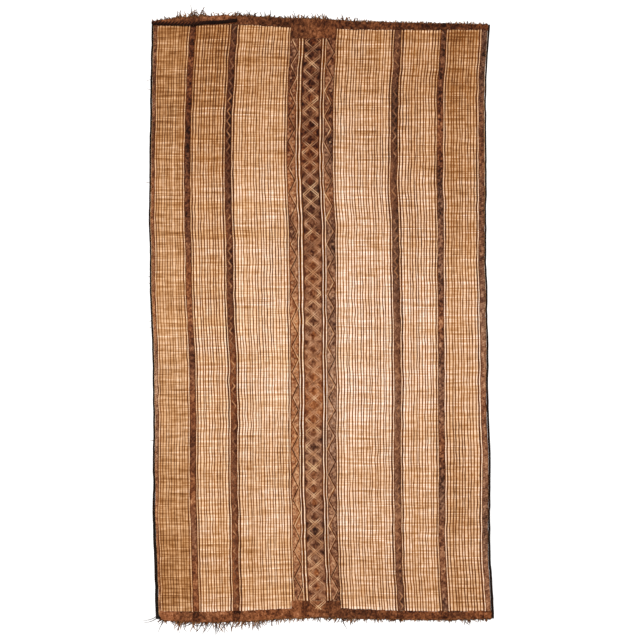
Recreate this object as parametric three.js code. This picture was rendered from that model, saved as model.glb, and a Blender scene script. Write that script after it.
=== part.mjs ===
// Tuareg floor mat: thin reeds laid crosswise and laced together lengthwise with leather thongs.
// Leather bands are woven in along its length, black leather binds its sides, and each end has a
// leather strip with a ragged fringe. Millimetres, +Z up, the mat's length along Y.

import * as THREE from "three";

// Driving dimensions
const GAP = 0.3; // between pieces that lie against each other
const CHANNEL_TOP = 2.2; // top of the reed bed under a leather band
const THONG_TOP = 2.6; // top of the reed bed where a thong pulls the reeds down
const BAR_TOP = 3.6; // top of the reed bed between two thongs
const BAND_THICKNESS = 1.5;
const CHANNEL_SIDE = 1; // clearance between a band and the reeds beside it
const BAR_UNEVENNESS = 0.09; // how far a thong strays from even spacing, as a share of the spacing
const BAR_STRAY_STEP = 2.4; // radians from one thong's stray to the next one's
const BINDING_HEIGHT = 5;
const STRIP_THICKNESS = 1.5;
const CORD_WIDTH = 21;
const CORD_HEIGHT = 6;
const CORD_STEPS = 80;
const CORD_TWIST = Math.PI / 6; // turn of the cord's section at each step
const FRINGE_THICKNESS = 2;
const FRINGE_GAP = 1; // between the mat's end and the fringe's backing
const FRINGE_BACKING = 6; // width of the strip that the fringe's locks grow from
const LOCKS_PER_END = 112;
const LOCK_WIDTH = 5;
const LOCK_TIP_WIDTH = 1;
const LOCK_SPLAY = 0.3; // radians, the most that a lock leans sideways
const LOCKS_PER_WAVE = 15; // locks from one lean to the right to the next
const LOCK_BEAT = 2.1; // radians from one lock to the next, in the waves that vary their length
const LOCK_DRIFT = 0.7;
const TUFT_HALF_WIDTH = 34;

// Where the hand-laced lines wander sideways, at sections from the top of the mat to its foot.
// across: X of a line where its sway is nil. sway: how far the line strays at each section.
const SECTIONS = [1560, 1342, 1144, 863, 416, 57, -416, -775, -1191, -1555]; // Y of each section
const LINES = [
  { name: "left side", across: -889, sway: [11, 10, 5, 0, 0, 7, 21, 17, 21, 36] },
  { name: "left plain band", across: -686, sway: [27, 15, 3, -5, 0, 9, 26, 24, 32, 47] },
  { name: "left chain band", across: -471, sway: [29, 13, 0, -10, 0, 8, 24, 24, 30, 39] },
  { name: "centre band", across: -39, sway: [6, -5, -10, -13, 0, 3, 5, 5, 14, 29] },
  { name: "right chain band", across: 393, sway: [15, 4, -4, -10, 0, 5, 13, 12, 13, 34] },
  { name: "right plain band", across: 628, sway: [19, 6, -4, -6, 0, -1, 5, 8, 6, 25] },
  { name: "right side", across: 866, sway: [19, 5, -2, 0, 0, 5, 13, 22, 23, 42] },
];
const BINDING_WIDTHS = {
  left: [11, 11, 11, 10, 9, 10, 10, 12, 17, 18],
  right: [11, 9, 9, 9, 10, 10, 12, 12, 13, 16],
};

// Leather bands along the mat, from the left. across: centre line where the sway is nil.
// bars: reed bars between this band and the next one.
const BANDS = [
  { name: "band_side_left", across: -869, width: 15, bars: 12, leather: "border" },
  { name: "band_plain_left", across: -686, width: 28, bars: 13, leather: "plain" },
  { name: "band_chain_left", across: -471, width: 32, bars: 20, leather: "chain" },
  { name: "band_inner_left", across: -138, width: 43, bars: 2, leather: "patterned" },
  { name: "band_centre", across: -39, width: 95, bars: 2, leather: "patterned" },
  { name: "band_inner_right", across: 56, width: 44, bars: 21, leather: "patterned" },
  { name: "band_chain_right", across: 393, width: 32, bars: 14, leather: "chain" },
  { name: "band_plain_right", across: 628, width: 29, bars: 13, leather: "plain" },
  { name: "band_side_right", across: 841, width: 26, bars: 0, leather: "border" },
];

// The uneven ends. across: X. Outer is the mat's end, and inner the end strip's edge on the reeds.
const ENDS = [
  { across: -884, topOuter: 1548, topInner: 1528, footInner: -1513, footOuter: -1550 },
  { across: -760, topOuter: 1569, topInner: 1529, footInner: -1513, footOuter: -1565 },
  { across: -634, topOuter: 1577, topInner: 1531, footInner: -1516, footOuter: -1570 },
  { across: -494, topOuter: 1582, topInner: 1536, footInner: -1513, footOuter: -1567 },
  { across: -385, topOuter: 1579, topInner: 1534, footInner: -1511, footOuter: -1565 },
  { across: -198, topOuter: 1568, topInner: 1523, footInner: -1500, footOuter: -1552 },
  { across: 0, topOuter: 1564, topInner: 1516, footInner: -1495, footOuter: -1543 },
  { across: 177, topOuter: 1551, topInner: 1509, footInner: -1501, footOuter: -1550 },
  { across: 426, topOuter: 1544, topInner: 1508, footInner: -1511, footOuter: -1555 },
  { across: 676, topOuter: 1539, topInner: 1508, footInner: -1513, footOuter: -1557 },
  { across: 890, topOuter: 1535, topInner: 1508, footInner: -1511, footOuter: -1551 },
];

// Each end strip deepens into a block across the three middle bands. inner: Y of its edge.
// left, right: how far it reaches past the outer two of those bands.
const BLOCKS = {
  top: { inner: 1465, left: 0, right: 0 },
  foot: { inner: -1459, left: 18, right: 5 },
};

// Twisted cord sewn along the top strip's left part, from the corner. A point for each bend.
const CORD_ROUTE = [
  { across: -876, along: 1547 },
  { across: -760, along: 1543 },
  { across: -686, along: 1540 },
  { across: -640, along: 1543 },
  { across: -590, along: 1548 },
  { across: -504, along: 1551 },
  { across: -430, along: 1562 },
];

// Fringe locks outside the tufts are from the shortest to that much longer.
const SHORTEST_LOCK = { top: 7, foot: 13 };
const LOCK_SPREAD = { top: 7, foot: 13 };

// Longer tufts in the fringe. across: X of the tuft. reach: length that it adds to the locks there.
const TUFTS = {
  top: [
    { across: -640, reach: 34 },
    { across: -520, reach: 10 },
    { across: -425, reach: 24 },
    { across: -340, reach: 18 },
    { across: -45, reach: 22 },
    { across: 105, reach: 18 },
  ],
  foot: [
    { across: -770, reach: 46 },
    { across: -690, reach: 34 },
    { across: -615, reach: 44 },
    { across: -535, reach: 48 },
    { across: -420, reach: 22 },
    { across: -305, reach: 44 },
    { across: -205, reach: 20 },
    { across: 85, reach: 34 },
    { across: 150, reach: 26 },
    { across: 770, reach: 26 },
  ],
};

// Value at a place, straight between knots of place and value, and level past the first and last.
function through(knots, place) {
  const inside = THREE.MathUtils.clamp(place, knots[0][0], knots.at(-1)[0]);
  const above = Math.max(1, knots.findIndex(([at]) => at >= inside));
  const [from, low] = knots[above - 1];
  const [to, high] = knots[above];
  return THREE.MathUtils.mapLinear(inside, from, to, low, high);
}

const sectionAt = (along, values) =>
  through(SECTIONS.map((section, index) => [section, values[index]]).reverse(), along);
const endAt = (across, edge) => through(ENDS.map((row) => [row.across, row[edge]]), across);

// X of the lengthwise line that stands at across where the sway is nil.
function swayed(across, along) {
  const strays = LINES.map((line) => [line.across, sectionAt(along, line.sway)]);
  return across + through(strays, across);
}

// Edges of the mat between its two bindings.
const LEFT_SIDE = LINES[0].across;
const RIGHT_SIDE = LINES.at(-1).across;
const bedLeft = (along) => swayed(LEFT_SIDE, along) + sectionAt(along, BINDING_WIDTHS.left) + GAP;
const bedRight = (along) => swayed(RIGHT_SIDE, along) - sectionAt(along, BINDING_WIDTHS.right) - GAP;

const TOP = SECTIONS[0];
const FOOT = SECTIONS.at(-1);
const INNER_SECTIONS = SECTIONS.slice(1, -1).reverse(); // from the foot up

// A closed geometry from points and the triangles that index them.
function closedGeometry(points, triangles) {
  const geometry = new THREE.BufferGeometry().setFromPoints(points);
  geometry.setIndex(triangles);
  geometry.computeVertexNormals();
  return geometry;
}

// A solid through rings of equal length, closed by a face at each end. Each ring runs
// anticlockwise as seen from the ring after it.
function loft(rings) {
  const sides = rings[0].length;
  const triangles = [];
  for (let ring = 0; ring + 1 < rings.length; ring++) {
    for (let side = 0; side < sides; side++) {
      const near = ring * sides + side;
      const nearNext = ring * sides + ((side + 1) % sides);
      triangles.push(near, nearNext, nearNext + sides, near, nearNext + sides, near + sides);
    }
  }
  const last = (rings.length - 1) * sides;
  for (let side = 1; side + 1 < sides; side++) {
    triangles.push(0, side + 1, side, last, last + side, last + side + 1);
  }
  return closedGeometry(rings.flat(), triangles);
}

// Reed bed: one sheet of reeds, ribbed lengthwise into bars by its thongs, let down under each band.
function reedBed() {
  const columns = [];
  BANDS.forEach((band, index) => {
    const reach = band.width / 2 + CHANNEL_SIDE;
    const first = index === 0;
    const last = index === BANDS.length - 1;
    columns.push({ edge: first && bedLeft, across: band.across - reach, top: CHANNEL_TOP });
    columns.push({ across: band.across, top: CHANNEL_TOP });
    columns.push({ edge: last && bedRight, across: band.across + reach, top: CHANNEL_TOP });
    if (last) return;
    const next = BANDS[index + 1];
    const from = band.across + reach + CHANNEL_SIDE;
    const to = next.across - next.width / 2 - 2 * CHANNEL_SIDE;
    const pitch = (to - from) / band.bars;
    for (let half = 0; half <= 2 * band.bars; half++) {
      const atRim = half === 0 || half === 2 * band.bars;
      const stray = atRim ? 0 : pitch * BAR_UNEVENNESS * Math.sin(BAR_STRAY_STEP * half);
      columns.push({ across: from + (half * pitch) / 2 + stray, top: half % 2 ? BAR_TOP : THONG_TOP });
    }
  });

  const place = (column, along) => (column.edge ? column.edge(along) : swayed(column.across, along));
  const row = (along, endColumn) =>
    columns.map((column) => {
      const x = place(column, along);
      return new THREE.Vector3(x, endColumn ? endAt(x, endColumn) : along, column.top);
    });
  const innerRows = INNER_SECTIONS.map((along) => row(along));
  const rows = [row(FOOT, "footOuter"), ...innerRows, row(TOP, "topOuter")];

  const width = columns.length;
  const triangles = [];
  for (let r = 0; r + 1 < rows.length; r++) {
    for (let c = 0; c + 1 < width; c++) {
      const corner = r * width + c;
      triangles.push(corner, corner + 1, corner + width + 1, corner, corner + width + 1, corner + width);
    }
  }

  // The rim runs anticlockwise from the foot's left corner, and walls go down from it to the floor.
  const highest = rows.length - 1;
  const rim = [];
  for (let c = 0; c < width - 1; c++) rim.push(c);
  for (let r = 0; r < highest; r++) rim.push(r * width + width - 1);
  for (let c = width - 1; c > 0; c--) rim.push(highest * width + c);
  for (let r = highest; r > 0; r--) rim.push(r * width);

  const points = rows.flat();
  const below = new Map(rim.map((index, i) => [index, points.length + i]));
  rim.forEach((index) => points.push(new THREE.Vector3(points[index].x, points[index].y, 0)));
  rim.forEach((index, i) => {
    const next = rim[(i + 1) % rim.length];
    triangles.push(index, below.get(index), below.get(next), index, below.get(next), next);
  });

  // The underside is flat: quads from side to side, and at each end a fan from either side's last point.
  const under = (r, c) => below.get(r * width + c);
  const right = width - 1;
  for (let r = 1; r < highest - 1; r++) {
    triangles.push(under(r, 0), under(r + 1, 0), under(r + 1, right));
    triangles.push(under(r, 0), under(r + 1, right), under(r, right));
  }
  const middle = Math.floor(width / 2);
  for (let c = 0; c < right; c++) {
    const side = c < middle ? 0 : right;
    triangles.push(under(0, c), under(1, side), under(0, c + 1));
    triangles.push(under(highest, c), under(highest, c + 1), under(highest - 1, side));
  }
  triangles.push(under(0, middle), under(1, 0), under(1, right));
  triangles.push(under(highest, middle), under(highest - 1, right), under(highest - 1, 0));
  return closedGeometry(points, triangles);
}

const FIRST_BLOCK_BAND = BANDS.find((band) => band.name === "band_inner_left");
const LAST_BLOCK_BAND = BANDS.find((band) => band.name === "band_inner_right");
const blockLeft = ({ inner, left }) =>
  swayed(FIRST_BLOCK_BAND.across - FIRST_BLOCK_BAND.width / 2, inner) - left;
const blockRight = ({ inner, right }) =>
  swayed(LAST_BLOCK_BAND.across + LAST_BLOCK_BAND.width / 2, inner) + right;

// Leather band: a flat strip in its channel, from end strip to end strip, kept clear of the bindings.
function band({ across, width }) {
  const inBlock = across >= FIRST_BLOCK_BAND.across && across <= LAST_BLOCK_BAND.across;
  const sides = [across - width / 2, across + width / 2];
  const leftAt = (along) => Math.max(swayed(sides[0], along), bedLeft(along) + CHANNEL_SIDE);
  const rightAt = (along) => Math.min(swayed(sides[1], along), bedRight(along) - CHANNEL_SIDE);
  const stripTop = Math.min(...sides.map((x) => endAt(swayed(x, TOP), "topInner")));
  const stripFoot = Math.max(...sides.map((x) => endAt(swayed(x, FOOT), "footInner")));
  const top = inBlock ? BLOCKS.top.inner : stripTop;
  const foot = inBlock ? BLOCKS.foot.inner : stripFoot;
  const bottom = CHANNEL_TOP + GAP;
  const stations = [foot + CHANNEL_SIDE, ...INNER_SECTIONS, top - CHANNEL_SIDE];
  return loft(
    stations.map((along) => {
      const left = leftAt(along);
      const right = rightAt(along);
      return [
        new THREE.Vector3(right, along, bottom),
        new THREE.Vector3(left, along, bottom),
        new THREE.Vector3(left, along, bottom + BAND_THICKNESS),
        new THREE.Vector3(right, along, bottom + BAND_THICKNESS),
      ];
    }),
  );
}

// Black binding down one side: a low rounded roll, flat on the floor.
const BINDING_PROFILE = [
  [0, 0],
  [0, 0.6],
  [0.25, 1],
  [0.75, 1],
  [1, 0.6],
  [1, 0],
]; // shares of its width and height

function binding(side) {
  const isLeft = side === "left";
  return loft(
    [FOOT, ...INNER_SECTIONS, TOP].map((along) => {
      const width = sectionAt(along, BINDING_WIDTHS[side]);
      const outer = swayed(isLeft ? LEFT_SIDE : RIGHT_SIDE, along);
      const left = isLeft ? outer : outer - width;
      const atEnd = along === TOP ? "topOuter" : "footOuter";
      const y = along === TOP || along === FOOT ? endAt(outer, atEnd) : along;
      return BINDING_PROFILE.map(
        ([across, up]) => new THREE.Vector3(left + across * width, y, up * BINDING_HEIGHT),
      );
    }),
  );
}

// End strip: a leather strip across the reeds at one end, deepened into a block at the middle bands.
function endStrip(end) {
  const along = end === "top" ? TOP : FOOT;
  const block = BLOCKS[end];
  const left = bedLeft(along);
  const right = bedRight(along);
  const inside = ENDS.map((row) => row.across).filter((x) => x > left && x < right);
  const stations = [left, ...inside, right];
  const outer = stations.map((x) => new THREE.Vector2(x, endAt(x, `${end}Outer`)));
  const blockEdges = [blockLeft(block), blockRight(block)];
  const [from, to] = blockEdges;
  const inner = stations
    .filter((x) => x < from || x > to)
    .map((x) => new THREE.Vector2(x, endAt(x, `${end}Inner`)));
  blockEdges.forEach((x) => {
    inner.push(new THREE.Vector2(x, endAt(x, `${end}Inner`)), new THREE.Vector2(x, block.inner));
  });
  const order = (point) => point.x + (point.y === block.inner ? (point.x === from ? GAP : -GAP) : 0);
  inner.sort((a, b) => order(b) - order(a));
  const outline = new THREE.Shape([...outer, ...inner]);
  const geometry = new THREE.ExtrudeGeometry(outline, { depth: STRIP_THICKNESS, bevelEnabled: false });
  return geometry.translate(0, 0, BAR_TOP + GAP);
}

// End cord: a square section turned along its route and pressed flat, as a twisted cord lies.
function endCord() {
  const rest = BAR_TOP + GAP + STRIP_THICKNESS + GAP + CORD_HEIGHT / 2;
  const bends = CORD_ROUTE.map(({ across, along }) => new THREE.Vector3(across, along, rest));
  const route = new THREE.CatmullRomCurve3(bends);
  const up = new THREE.Vector3(0, 0, CORD_HEIGHT / 2);
  const rings = [];
  for (let step = 0; step <= CORD_STEPS; step++) {
    const centre = route.getPointAt(step / CORD_STEPS);
    const ahead = route.getTangentAt(step / CORD_STEPS);
    const side = new THREE.Vector3(-ahead.y, ahead.x, 0).setLength(CORD_WIDTH / 2);
    const turn = step * CORD_TWIST;
    rings.push(
      [0, 1, 2, 3].map((corner) => {
        const angle = turn + (corner * Math.PI) / 2;
        return centre.clone().addScaledVector(side, Math.cos(angle)).addScaledVector(up, Math.sin(angle));
      }),
    );
  }
  return loft(rings);
}

// Length of a fringe lock: a short uneven nap, with longer locks near each tuft.
function lockLength(end, across, index) {
  const uneven = Math.abs(Math.sin(LOCK_BEAT * index) * Math.cos(LOCK_DRIFT * index));
  const nearness = (tuft) => Math.max(0, 1 - Math.abs(across - tuft.across) / TUFT_HALF_WIDTH);
  const tuftReach = Math.max(...TUFTS[end].map((tuft) => tuft.reach * nearness(tuft)));
  return SHORTEST_LOCK[end] + LOCK_SPREAD[end] * uneven + tuftReach;
}

// Fringe: a narrow backing along the mat's end, with tapered locks that lie on the floor.
function fringe(end) {
  const along = end === "top" ? TOP : FOOT;
  const outward = end === "top" ? 1 : -1;
  const left = bedLeft(along);
  const right = bedRight(along);
  const pitch = (right - left) / LOCKS_PER_END;
  const endY = (x) => endAt(x, `${end}Outer`);
  const backing = (x, out) => new THREE.Vector2(x, endY(x) + outward * (FRINGE_GAP + out));
  const outline = [];
  const stations = [left, ...ENDS.map((row) => row.across).filter((x) => x > left && x < right), right];
  stations.reverse().forEach((x) => outline.push(backing(x, 0)));
  outline.push(backing(left, FRINGE_BACKING));
  for (let index = 0; index < LOCKS_PER_END; index++) {
    const across = left + (index + 0.5) * pitch;
    const root = backing(across, FRINGE_BACKING);
    const length = lockLength(end, across, index);
    const lean = LOCK_SPLAY * Math.sin((2 * Math.PI * index) / LOCKS_PER_WAVE);
    const reach = new THREE.Vector2(Math.sin(lean), outward * Math.cos(lean)).multiplyScalar(length);
    const tip = root.clone().add(reach);
    const halfTip = LOCK_TIP_WIDTH / 2;
    outline.push(backing(across - LOCK_WIDTH / 2, FRINGE_BACKING));
    outline.push(new THREE.Vector2(tip.x - halfTip, tip.y), new THREE.Vector2(tip.x + halfTip, tip.y));
    outline.push(backing(across + LOCK_WIDTH / 2, FRINGE_BACKING));
  }
  outline.push(backing(right, FRINGE_BACKING));
  const shape = new THREE.Shape(outline);
  return new THREE.ExtrudeGeometry(shape, { depth: FRINGE_THICKNESS, bevelEnabled: false });
}

const leather = (color, roughness) => new THREE.MeshStandardMaterial({ color, roughness, metalness: 0 });
const FINISHES = {
  reed: new THREE.MeshStandardMaterial({ color: "#d6ab7e", roughness: 0.75, metalness: 0 }),
  border: leather("#7d4f35", 0.8),
  plain: leather("#5c3626", 0.7),
  chain: leather("#4a3023", 0.75),
  patterned: leather("#875a3e", 0.8),
  binding: leather("#2b211d", 0.6),
  strip: leather("#69402b", 0.85),
  fringe: leather("#5e3a26", 0.9),
};

const pieces = new THREE.Group();

function addPiece(name, geometry, finish) {
  const mesh = new THREE.Mesh(geometry, FINISHES[finish]);
  mesh.name = name;
  pieces.add(mesh);
}

addPiece("reed_bed", reedBed(), "reed");
BANDS.forEach((row) => addPiece(row.name, band(row), row.leather));
addPiece("binding_left", binding("left"), "binding");
addPiece("binding_right", binding("right"), "binding");
addPiece("end_strip_top", endStrip("top"), "strip");
addPiece("end_strip_foot", endStrip("foot"), "strip");
addPiece("end_cord", endCord(), "binding");
addPiece("fringe_top", fringe("top"), "fringe");
addPiece("fringe_foot", fringe("foot"), "fringe");

// The origin is under the middle of the whole mat, fringe included.
const middle = new THREE.Box3().setFromObject(pieces).getCenter(new THREE.Vector3());
pieces.position.set(-middle.x, -middle.y, 0);

const mat = new THREE.Group();
mat.add(pieces);

export default mat;
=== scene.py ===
"""Tuareg floor mat: reeds laid crosswise and laced lengthwise with leather thongs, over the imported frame.

Each piece is a surface worked out with numpy in the row frame, in metres: a strip is a grid of rows along
the mat and columns across it. Each point carries two values: tone, from dark to pale, and warm, from
the plain hue to the warmer one. The finishes turn both into colour.
"""

import logging
import math
from dataclasses import dataclass, field
from enum import Enum

import bpy
import numpy as np
from numpy.typing import NDArray
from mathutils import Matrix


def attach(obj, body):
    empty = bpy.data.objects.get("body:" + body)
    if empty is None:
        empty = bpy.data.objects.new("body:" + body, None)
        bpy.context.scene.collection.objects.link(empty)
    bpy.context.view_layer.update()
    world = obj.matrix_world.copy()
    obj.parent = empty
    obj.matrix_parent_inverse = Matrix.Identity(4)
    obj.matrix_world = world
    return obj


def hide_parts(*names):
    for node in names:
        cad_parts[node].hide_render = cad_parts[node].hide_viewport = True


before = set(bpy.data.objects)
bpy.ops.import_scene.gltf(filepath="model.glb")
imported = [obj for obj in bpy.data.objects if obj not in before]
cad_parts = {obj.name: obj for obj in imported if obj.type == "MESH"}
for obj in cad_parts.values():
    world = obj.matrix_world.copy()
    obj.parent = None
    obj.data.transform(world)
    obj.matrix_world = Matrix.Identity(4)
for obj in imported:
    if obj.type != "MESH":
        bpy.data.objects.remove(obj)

Array = NDArray[np.float64]
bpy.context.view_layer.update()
MM = 0.001
BODY = "root"
log = logging.getLogger("tuareg_mat")


# Small tools

def linear_colour(code: str) -> tuple[float, float, float, float]:
    """Turn an sRGB hex colour into linear red, green, blue and alpha.

    Args:
        code: Six hex digits after a hash sign.

    Returns:
        Linear components with alpha 1.
    """
    parts = np.array([int(code[i:i + 2], 16) for i in (1, 3, 5)]) / 255
    red, green, blue = np.where(parts <= 0.04045, parts / 12.92, ((parts + 0.055) / 1.055) ** 2.4)
    return float(red), float(green), float(blue), 1.0


def smooth_step(value: Array) -> Array:
    """Ease a value from 0 to 1 by 3t squared less 2t cubed, flat outside that range."""
    t = np.clip(value, 0, 1)
    return t * t * (3 - 2 * t)


def lattice_noise(across: Array, along: Array, cell: tuple[float, float], seed: int) -> Array:
    """Smooth noise: random values at a lattice's corners, blended inside each cell by smooth_step both ways.

    Args:
        across: X of each point.
        along: Y of each point.
        cell: Size of a lattice cell along X and Y.
        seed: Start of the random sequence.

    Returns:
        Noise from 0 to 1, of the points' shape.
    """
    corners = np.random.default_rng(seed).random((64, 1024))
    u, v = np.broadcast_arrays(across / cell[0] + 32, along / cell[1] + 512)
    column, row = np.floor(u).astype(int), np.floor(v).astype(int)
    right, up = smooth_step(u - column), smooth_step(v - row)
    near, far = column % 64, (column + 1) % 64
    low, high = row % 1024, (row + 1) % 1024
    below = corners[near, low] * (1 - right) + corners[far, low] * right
    above = corners[near, high] * (1 - right) + corners[far, high] * right
    return below * (1 - up) + above * up


def smooth_curve(place: Array, knots: Array, values: Array) -> Array:
    """Cubic Hermite curve through knots, with each slope from the knots beside it, straight past both ends.

    Args:
        place: Where the curve is read.
        knots: Rising places of the known values.
        values: The known values.

    Returns:
        The curve's value at each place.
    """
    slopes = np.gradient(values, knots)
    held = np.clip(place, knots[0], knots[-1])
    i = np.clip(np.searchsorted(knots, held) - 1, 0, len(knots) - 2)
    span = knots[i + 1] - knots[i]
    t = (held - knots[i]) / span
    ease = t * t * (3 - 2 * t)
    inside = (values[i] * (1 - ease) + values[i + 1] * ease
              + span * (slopes[i] * t * (1 - t) ** 2 - slopes[i + 1] * t * t * (1 - t)))
    past = (place - held) * np.where(place > held, slopes[-1], slopes[0])
    return inside + past


def wander(across: Array, along: Array) -> Array:
    """How far a hand-laced line strays sideways: long waves of 3 mm and shorter ones of 1.5 mm.

    Args:
        across: X of the points.
        along: Y of the points.

    Returns:
        How far each point moves along X.
    """
    long_wave = lattice_noise(across, along, (0.45, 0.17), 3) - 0.5
    short_wave = lattice_noise(across, along, (0.14, 0.06), 4) - 0.5
    return 6 * MM * long_wave + 3 * MM * short_wave


def zigzag(turns: Array) -> Array:
    """Triangle wave from -1 to 1 that starts at -1 and repeats once a turn."""
    return 1 - 2 * np.abs(2 * (turns - np.floor(turns)) - 1)


# The frame's lines

def node_points(name: str) -> Array:
    """Corners of a CAD node in the row frame, one row each.

    Args:
        name: The node's name.

    Returns:
        The corners, as [corner, axis].
    """
    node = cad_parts[name]
    flat = np.empty(3 * len(node.data.vertices))
    node.data.vertices.foreach_get("co", flat)
    world = np.array(node.matrix_world)
    return flat.reshape(-1, 3) @ world[:3, :3].T + world[:3, 3]


@dataclass(frozen=True)
class LongEdges:
    """Left and right edge of a long node, at each section along the mat."""

    along: Array
    left: Array
    right: Array

    @classmethod
    def of_node(cls, name: str) -> "LongEdges":
        """Read the edges from a node whose sections each lie at one Y.

        Args:
            name: The node's name.

        Returns:
            Both edges at each section.
        """
        points = node_points(name)
        along, section = np.unique(points[:, 1].round(4), return_inverse=True)
        left, right = np.full(len(along), np.inf), np.full(len(along), -np.inf)
        np.minimum.at(left, section.ravel(), points[:, 0])
        np.maximum.at(right, section.ravel(), points[:, 0])
        return cls(along, left, right)

    def left_at(self, along: Array) -> Array:
        """X of the left edge."""
        return smooth_curve(along, self.along, self.left)

    def right_at(self, along: Array) -> Array:
        """X of the right edge."""
        return smooth_curve(along, self.along, self.right)

    def across(self, along: Array, share: Array) -> Array:
        """X at a share from the left edge, 0, to the right edge, 1."""
        left = self.left_at(along)
        return left + share * (self.right_at(along) - left)


class End(Enum):
    """The mat's two ends, by the sign of Y that points out of the mat."""

    TOP = 1
    FOOT = -1

    @property
    def word(self) -> str:
        """Name used in node names."""
        return self.name.lower()


@dataclass(frozen=True)
class EndLine:
    """Outer and inner edge of an end strip, and the deeper block at the middle bands."""

    end: End
    outer: tuple[Array, Array]
    inner: tuple[Array, Array]
    block: tuple[float, float, float]

    @classmethod
    def of_frame(cls, end: End) -> "EndLine":
        """Read one end from the reed bed's rim and the end strip's outline.

        Args:
            end: Which end.

        Returns:
            That end's lines.
        """
        sign = end.value
        bed = node_points("reed_bed")
        rim = bed[sign * bed[:, 1] > 1.4]
        rim = rim[np.unique(rim[:, 0].round(5), return_index=True)[1]]
        strip = node_points(f"end_strip_{end.word}")
        depth = sign * strip[:, 1]
        block_y = depth.min()
        block = strip[depth < block_y + 0.1 * MM]
        reach = np.interp(strip[:, 0], rim[:, 0], sign * rim[:, 1])
        inside = strip[(depth > block_y + 5 * MM) & (depth < reach - 8 * MM)]
        inside = inside[np.unique(inside[:, 0].round(5), return_index=True)[1]]
        return cls(end, (rim[:, 0], rim[:, 1]), (inside[:, 0], inside[:, 1]),
                   (block[:, 0].min(), block[:, 0].max(), sign * block_y))

    def outer_at(self, across: Array) -> Array:
        """Y of the mat's end."""
        return np.interp(across, *self.outer)

    def inner_at(self, across: Array) -> Array:
        """Y of the strip's edge on the reeds, away from the block."""
        return np.interp(across, *self.inner)


@dataclass
class MatPlan:
    """Lines that every piece is laid out on, read from the frame."""

    band_names: tuple[str, ...] = (
        "band_side_left", "band_plain_left", "band_chain_left", "band_inner_left", "band_centre",
        "band_inner_right", "band_chain_right", "band_plain_right", "band_side_right")
    bands: list[LongEdges] = field(init=False)
    left_side: LongEdges = field(init=False)
    right_side: LongEdges = field(init=False)
    top: EndLine = field(init=False)
    foot: EndLine = field(init=False)

    def __post_init__(self) -> None:
        """Read the bands, the bindings and the two ends."""
        self.bands = [LongEdges.of_node(name) for name in self.band_names]
        self.left_side = LongEdges.of_node("binding_left")
        self.right_side = LongEdges.of_node("binding_right")
        self.top = EndLine.of_frame(End.TOP)
        self.foot = EndLine.of_frame(End.FOOT)

    def row_y(self, across: Array, share: Array, under: float) -> Array:
        """Y of a reed row, straight between the end strips.

        Args:
            across: X of the points.
            share: 0 at the foot's strip to 1 at the top's.
            under: How far the rows run on under the strips.

        Returns:
            Y of each point.
        """
        low = self.foot.inner_at(across) - under
        high = self.top.inner_at(across) + under
        return low + share * (high - low)


# Meshes

@dataclass
class Surface:
    """Strips of a piece: points[strip, row, column], with tone and warm at each point."""

    points: Array
    tone: Array
    warm: Array
    closed: bool = False

    def make(self, name: str) -> bpy.types.Object:
        """Put the strips into one smooth mesh with a UV tile for each strip.

        Args:
            name: Name of the new object.

        Returns:
            The object, at the origin.
        """
        strips, rows, columns, _ = self.points.shape
        index = np.arange(strips * rows * columns).reshape(strips, rows, columns)
        beside = np.roll(index, -1, axis=2)
        if not self.closed:
            index, beside = index[:, :, :-1], beside[:, :, :-1]
        quads = np.stack([index[:, :-1], beside[:, :-1], beside[:, 1:], index[:, 1:]], axis=-1)
        count = quads[..., 0].size

        mesh = bpy.data.meshes.new(name)
        mesh.vertices.add(strips * rows * columns)
        mesh.vertices.foreach_set("co", self.points.astype(np.float32).ravel())
        mesh.loops.add(4 * count)
        mesh.loops.foreach_set("vertex_index", quads.astype(np.int32).ravel())
        mesh.polygons.add(count)
        mesh.polygons.foreach_set("loop_start", np.arange(0, 4 * count, 4, dtype=np.int32))
        mesh.polygons.foreach_set("use_smooth", np.ones(count, dtype=bool))
        mesh.update(calc_edges=True)
        for key, values in (("tone", self.tone), ("warm", self.warm)):
            layer = mesh.attributes.new(key, "FLOAT", "POINT")
            spread = np.broadcast_to(values, self.points.shape[:3])
            layer.data.foreach_set("value", spread.astype(np.float32).ravel())
        uv = mesh.uv_layers.new(name="OFBake")
        uv.data.foreach_set("uv", self.tiles(*quads.shape[:3]).astype(np.float32).ravel())
        piece = bpy.data.objects.new(name, mesh)
        bpy.context.scene.collection.objects.link(piece)
        return piece

    @staticmethod
    def tiles(strips: int, rows: int, columns: int) -> Array:
        """UV of each face corner: each strip fills its own tile of an even grid, less a margin.

        Args:
            strips: Number of strips.
            rows: Faces along a strip.
            columns: Faces across a strip.

        Returns:
            Corners as [strip, row, column, corner, uv].
        """
        wide = strips if strips <= 32 else math.ceil(math.sqrt(strips))
        high = math.ceil(strips / wide)
        strip, row, column = np.meshgrid(
            np.arange(strips), np.arange(rows), np.arange(columns), indexing="ij")
        corner_u = (column[..., None] + np.array([0, 1, 1, 0])) / columns
        corner_v = (row[..., None] + np.array([0, 0, 1, 1])) / rows
        u = (strip[..., None] % wide + 0.04 + 0.92 * corner_u) / wide
        v = (strip[..., None] // wide + 0.002 + 0.996 * corner_v) / high
        return np.stack([u, v], axis=-1)


def place(piece: bpy.types.Object, finish: "Finish", slot: str, *nodes: str) -> bpy.types.Object:
    """Dress a piece, make it ride on the mat and say which nodes it stands for.

    Args:
        piece: The new object.
        finish: Its finish.
        slot: The record's material slot; not used.
        nodes: CAD nodes that it replaces.

    Returns:
        The same object.
    """
    piece.data.materials.append(finish.material())
    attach(piece, BODY)
    if nodes:
        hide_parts(*nodes)
    stands_for = ", ".join(nodes) or "no node"
    log.info("%s: %d faces, stands for %s", piece.name, len(piece.data.polygons), stands_for)
    return piece


# Finishes

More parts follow.
